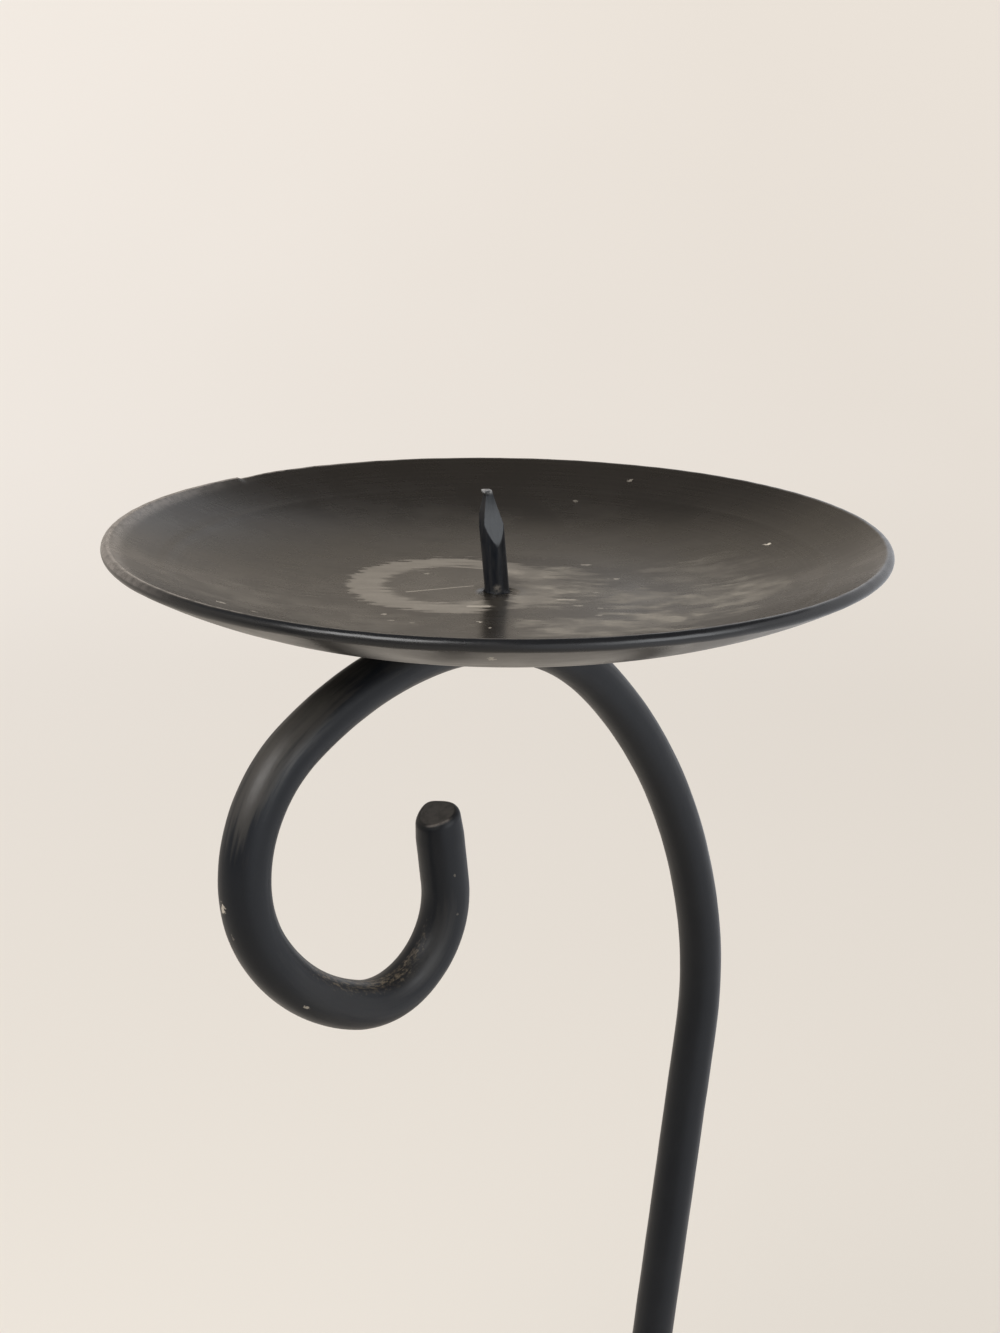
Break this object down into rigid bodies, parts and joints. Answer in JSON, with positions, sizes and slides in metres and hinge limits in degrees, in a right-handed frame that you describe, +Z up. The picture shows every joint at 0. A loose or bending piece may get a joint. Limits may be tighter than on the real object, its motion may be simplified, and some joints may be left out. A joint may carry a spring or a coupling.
{
  "type": "double candle holder",
  "caption": "Lyre-shaped candle holder bent from black-painted round bar: scrolled crook arms carry shallow spiked dishes for pillar candles, and the bar stands on bowed feet.",
  "frame": {"origin": "on the floor under the middle of the holder, at the centre of its outline", "axes": "+Z up, X along the two arms from dish to dish, Y across them along the feet"},
  "size_m": [0.296, 0.1436, 0.3129],
  "materials": {
    "bar_paint": "satin blue-black paint over bent steel bar, with small bare chips",
    "dish_paint": "semi-gloss brown-black paint over pressed sheet, with a wax ring and fine scratches",
    "spike_paint": "satin black paint over a wire nail, worn pale at the tip",
    "weld_paint": "satin black paint over rippled weld bead"
  },
  "bodies": {
    "root": {"right_arm": "bar_paint", "right_foot": "bar_paint", "right_dish": "dish_paint", "right_spike": "spike_paint", "right_dish_weld": "weld_paint", "right_foot_weld": "weld_paint", "left_arm": "bar_paint", "left_foot": "bar_paint", "left_dish": "dish_paint", "left_spike": "spike_paint", "left_dish_weld": "weld_paint", "left_foot_weld": "weld_paint", "butt_weld": "weld_paint"}
  },
  "joints": []
}
